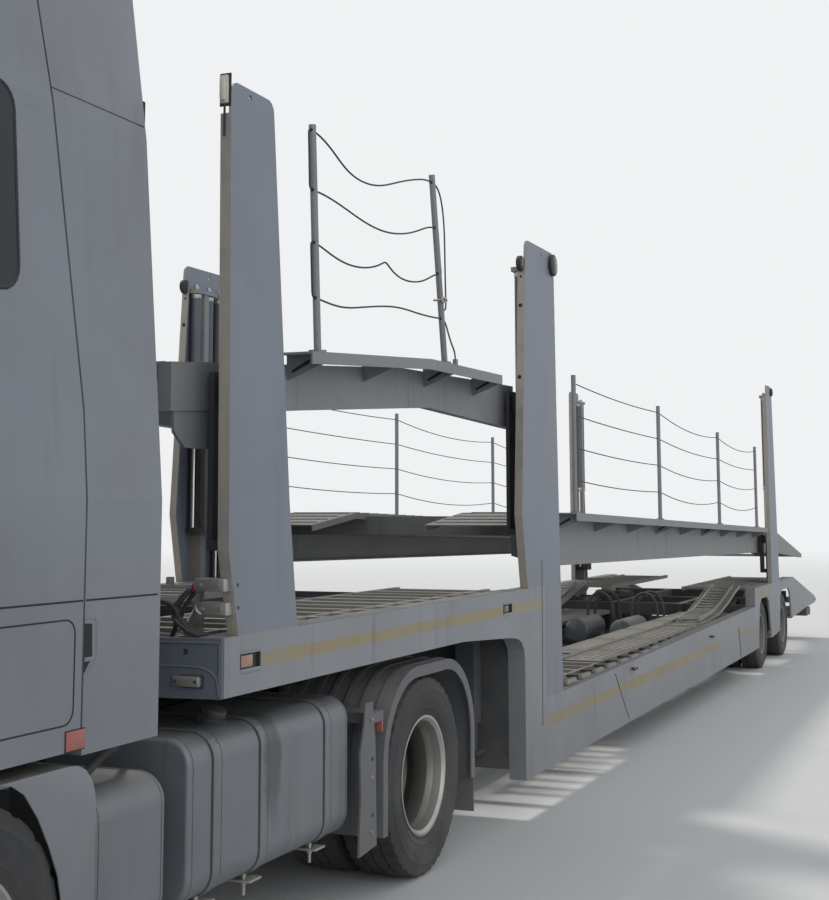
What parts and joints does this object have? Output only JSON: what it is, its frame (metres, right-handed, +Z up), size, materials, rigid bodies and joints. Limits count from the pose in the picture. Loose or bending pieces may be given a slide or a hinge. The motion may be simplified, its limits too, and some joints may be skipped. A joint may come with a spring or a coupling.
{
  "type": "car transporter lorry",
  "caption": "Articulated lorry that carries cars: a high-roof tractor and a low semi-trailer with two lifting, tilting upper decks on side posts.",
  "frame": {"origin": "on the ground, halfway between the front bumper and the tail lamps, on the lorry's centre plane", "axes": "+X forwards, +Y to the lorry's left, +Z up"},
  "size_m": [20.27, 3.02, 3.93],
  "materials": {
    "grey_paint": "satin, dusty",
    "dark_paint": "satin, greasy",
    "wheel_silver": "satin, dusty",
    "tyre": "dusty",
    "glass": "tinted",
    "lamp": "clear",
    "black_plastic": "matt",
    "seat_fabric": "woven",
    "steel": "greased",
    "rope_fibre": "woven"
  },
  "bodies": {
    "tractor": {"tractor_frame": "dark_paint", "engine": "dark_paint", "front_axle": "dark_paint", "drive_axle": "dark_paint", "fifth_wheel": "dark_paint", "tanks": "grey_paint", "mudguards": "grey_paint", "bumper": "grey_paint", "headlamps": "lamp"},
    "cab": {"cab_shell": "grey_paint", "cab_roof": "grey_paint", "cab_glass": "glass", "grille": "black_plastic", "deflectors": "grey_paint", "seats": "seat_fabric", "dashboard": "black_plastic"},
    "door_left": {"door_left": "grey_paint", "door_glass_left": "glass"},
    "door_right": {"door_right": "grey_paint", "door_glass_right": "glass"},
    "knuckle_left": {"knuckle_left": "dark_paint"},
    "knuckle_right": {"knuckle_right": "dark_paint"},
    "trailer": {"side_frames": "grey_paint", "cross_frame": "grey_paint", "treadways": "grey_paint", "trailer_axles": "dark_paint", "landing_legs": "dark_paint", "underrun": "dark_paint", "posts": "grey_paint", "lift_barrels": "dark_paint", "marker_lamps": "lamp"},
    "front_deck_carriages": {"front_deck_carriages": "dark_paint"},
    "front_deck": {"front_deck": "grey_paint", "front_deck_rails": "grey_paint", "rope_left": "rope_fibre", "rope_right": "rope_fibre"},
    "rear_deck_carriages": {"rear_deck_carriages": "dark_paint"},
    "rear_deck": {"rear_deck": "grey_paint", "rear_deck_rails": "grey_paint"},
    "wheel_front_left": {"rim_front_left": "wheel_silver", "tyre_front_left": "tyre"},
    "wheel_front_right": {"rim_front_right": "wheel_silver", "tyre_front_right": "tyre"},
    "wheel_drive_left": {"rim_drive_left": "wheel_silver", "tyre_drive_left": "tyre"},
    "wheel_drive_right": {"rim_drive_right": "wheel_silver", "tyre_drive_right": "tyre"},
    "wheel_trailer_front_left": {"rim_trailer_front_left": "wheel_silver", "tyre_trailer_front_left": "tyre"},
    "wheel_trailer_front_right": {"rim_trailer_front_right": "wheel_silver", "tyre_trailer_front_right": "tyre"},
    "wheel_trailer_rear_left": {"rim_trailer_rear_left": "wheel_silver", "tyre_trailer_rear_left": "tyre"},
    "wheel_trailer_rear_right": {"rim_trailer_rear_right": "wheel_silver", "tyre_trailer_rear_right": "tyre"}
  },
  "joints": [
    {"name": "fifth_wheel_turn", "type": "hinge", "parent": "tractor", "child": "trailer", "pos_m": [5.715, 0, 1.1], "axis": [0, 0, 1], "range_deg": [-80, 80]},
    {"name": "cab_tilt", "type": "hinge", "parent": "tractor", "child": "cab", "pos_m": [10.1, 0, 1.075], "axis": [0, 1, 0], "range_deg": [0, 55]},
    {"name": "door_left_swing", "type": "hinge", "parent": "cab", "child": "door_left", "pos_m": [9.928, 1.232, 1.6], "axis": [0, 0, -1], "range_deg": [0, 70]},
    {"name": "door_right_swing", "type": "hinge", "parent": "cab", "child": "door_right", "pos_m": [9.928, -1.232, 1.6], "axis": [0, 0, 1], "range_deg": [0, 70]},
    {"name": "steer_left", "type": "hinge", "parent": "tractor", "child": "knuckle_left", "pos_m": [8.765, 0.88, 0.5], "axis": [0, 0, 1], "range_deg": [-32, 32]},
    {"name": "steer_right", "type": "hinge", "parent": "tractor", "child": "knuckle_right", "pos_m": [8.765, -0.88, 0.5], "axis": [0, 0, 1], "range_deg": [-32, 32]},
    {"name": "wheel_front_left_spin", "type": "hinge", "parent": "knuckle_left", "child": "wheel_front_left", "pos_m": [8.765, 1.095, 0.5], "axis": [0, 1, 0], "continuous": true},
    {"name": "wheel_drive_left_spin", "type": "hinge", "parent": "tractor", "child": "wheel_drive_left", "pos_m": [5.165, 0.93, 0.5], "axis": [0, 1, 0], "continuous": true},
    {"name": "wheel_trailer_front_left_spin", "type": "hinge", "parent": "trailer", "child": "wheel_trailer_front_left", "pos_m": [-5.435, 0.99, 0.395], "axis": [0, 1, 0], "continuous": true},
    {"name": "wheel_trailer_rear_left_spin", "type": "hinge", "parent": "trailer", "child": "wheel_trailer_rear_left", "pos_m": [-7.085, 0.99, 0.395], "axis": [0, 1, 0], "continuous": true},
    {"name": "wheel_front_right_spin", "type": "hinge", "parent": "knuckle_right", "child": "wheel_front_right", "pos_m": [8.765, -1.095, 0.5], "axis": [0, 1, 0], "continuous": true},
    {"name": "wheel_drive_right_spin", "type": "hinge", "parent": "tractor", "child": "wheel_drive_right", "pos_m": [5.165, -0.93, 0.5], "axis": [0, 1, 0], "continuous": true},
    {"name": "wheel_trailer_front_right_spin", "type": "hinge", "parent": "trailer", "child": "wheel_trailer_front_right", "pos_m": [-5.435, -0.99, 0.395], "axis": [0, 1, 0], "continuous": true},
    {"name": "wheel_trailer_rear_right_spin", "type": "hinge", "parent": "trailer", "child": "wheel_trailer_rear_right", "pos_m": [-7.085, -0.99, 0.395], "axis": [0, 1, 0], "continuous": true},
    {"name": "front_deck_lift", "type": "slide", "parent": "trailer", "child": "front_deck_carriages", "axis": [0, 0, 1], "range_m": [-0.25, 0.6]},
    {"name": "front_deck_tilt", "type": "hinge", "parent": "front_deck_carriages", "child": "front_deck", "pos_m": [3.38, 0, 2.52], "axis": [0, -1, 0], "range_deg": [-2, 5]},
    {"name": "rear_deck_lift", "type": "slide", "parent": "trailer", "child": "rear_deck_carriages", "axis": [0, 0, 1], "range_m": [-0.05, 0.95]},
    {"name": "rear_deck_tilt", "type": "hinge", "parent": "rear_deck_carriages", "child": "rear_deck", "pos_m": [-6.305, 0, 1.45], "axis": [0, -1, 0], "range_deg": [-3, 4]}
  ],
  "couplings": [
    {"joint": "steer_right", "follows": "steer_left", "ratio": 1}
  ]
}
